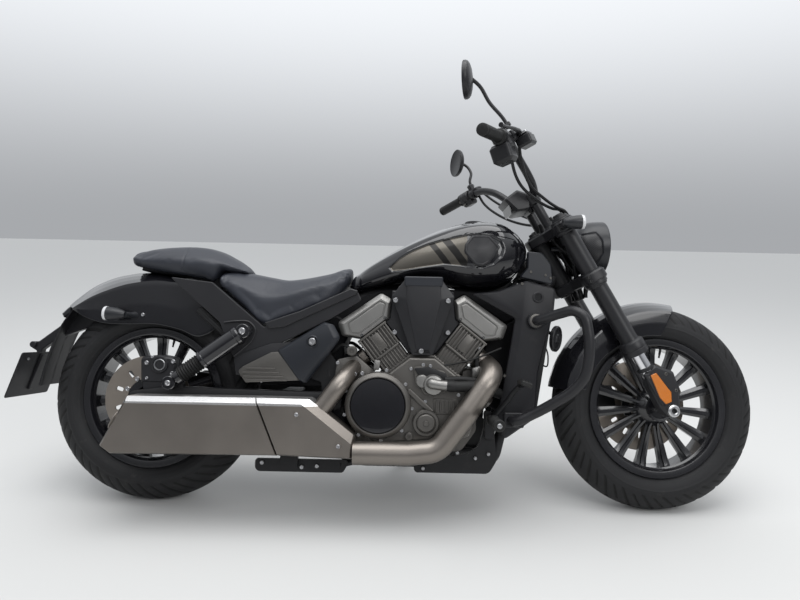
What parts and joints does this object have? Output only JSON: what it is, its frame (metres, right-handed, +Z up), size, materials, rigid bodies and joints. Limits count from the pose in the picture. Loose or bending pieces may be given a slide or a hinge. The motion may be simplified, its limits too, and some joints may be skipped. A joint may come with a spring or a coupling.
{
  "type": "cruiser motorcycle",
  "caption": "Low cruiser motorcycle with a V engine, teardrop tank, stepped seats, blade-spoke wheels, side silencer and engine guards, leaning on its side stand.",
  "frame": {"origin": "centre of the bounding box in plan, on the ground under the tyres", "axes": "+X forward along the machine, +Y to its left, +Z up; the machine leans 12 degrees to its left"},
  "size_m": [2.3396, 0.8916, 1.3231],
  "materials": {
    "frame_black": "satin black paint",
    "gloss_black": "gloss black paint",
    "satin_black": "satin black coating",
    "engine_grey": "satin gunmetal casting",
    "cover_grey": "satin grey casting",
    "exhaust_bronze": "satin bronze grey coating",
    "shroud_black": "satin black plastic",
    "panel_slate": "satin dark slate plastic",
    "seat_cover": "matte dark blue grey cover",
    "tyre_rubber": "matte black rubber",
    "rim_black": "gloss black casting",
    "disc_steel": "turned disc steel",
    "bare_steel": "plain steel",
    "chrome": "polished chrome",
    "black_rubber": "matte black rubber",
    "lamp_dark": "dark grey housing with clear lens"
  },
  "bodies": {
    "chassis": {"main_frame": "frame_black", "crankcase": "engine_grey", "cylinder_banks": "engine_grey", "head_covers": "cover_grey", "v_covers": "satin_black", "engine_side_covers": "engine_grey", "radiator": "frame_black", "radiator_shroud": "shroud_black", "exhaust_pipes": "exhaust_bronze", "silencer": "exhaust_bronze", "fuel_tank": "gloss_black", "rider_seat": "seat_cover", "passenger_seat": "seat_cover", "rear_fender": "gloss_black", "seat_panels": "gloss_black", "side_covers": "panel_slate", "swingarm": "frame_black", "rear_shocks": "satin_black", "rear_caliper": "satin_black", "drive_belt": "black_rubber", "plate_holder": "shroud_black", "rear_lamps": "lamp_dark", "engine_guards": "frame_black", "foot_controls": "frame_black", "rear_axle": "bare_steel"},
    "steering": {"triple_clamps": "satin_black", "fork_tubes": "satin_black", "fork_stanchions": "chrome", "fork_lowers": "satin_black", "handlebar": "satin_black", "bar_controls": "shroud_black", "mirrors": "gloss_black", "instrument": "lamp_dark", "front_lamps": "lamp_dark", "control_cables": "black_rubber", "front_fender": "gloss_black", "front_caliper": "satin_black", "front_axle": "bare_steel"},
    "front_wheel": {"front_tyre": "tyre_rubber", "front_rim": "rim_black", "front_disc": "disc_steel"},
    "rear_wheel": {"rear_tyre": "tyre_rubber", "rear_rim": "rim_black", "rear_disc": "disc_steel"},
    "stand": {"side_stand": "frame_black"}
  },
  "joints": [
    {"name": "steering", "type": "hinge", "parent": "chassis", "child": "steering", "pos_m": [0.80165, -0.13574, 0.28621], "axis": [-0.4994, 0.1801, 0.8474], "range_deg": [-38, 32]},
    {"name": "front_wheel_spin", "type": "hinge", "parent": "steering", "child": "front_wheel", "pos_m": [0.8501, -0.12706, 0.31291], "axis": [-0.0455, 0.9714, -0.2332], "continuous": true},
    {"name": "rear_wheel_spin", "type": "hinge", "parent": "chassis", "child": "rear_wheel", "pos_m": [-0.73283, -0.1293, 0.31754], "axis": [-0.0001, 0.9781, -0.2079], "continuous": true},
    {"name": "side_stand", "type": "hinge", "parent": "chassis", "child": "stand", "pos_m": [0.00902, -0.02312, 0.09512], "axis": [0.147, 0.4366, 0.8876], "range_deg": [0, 104]}
  ]
}
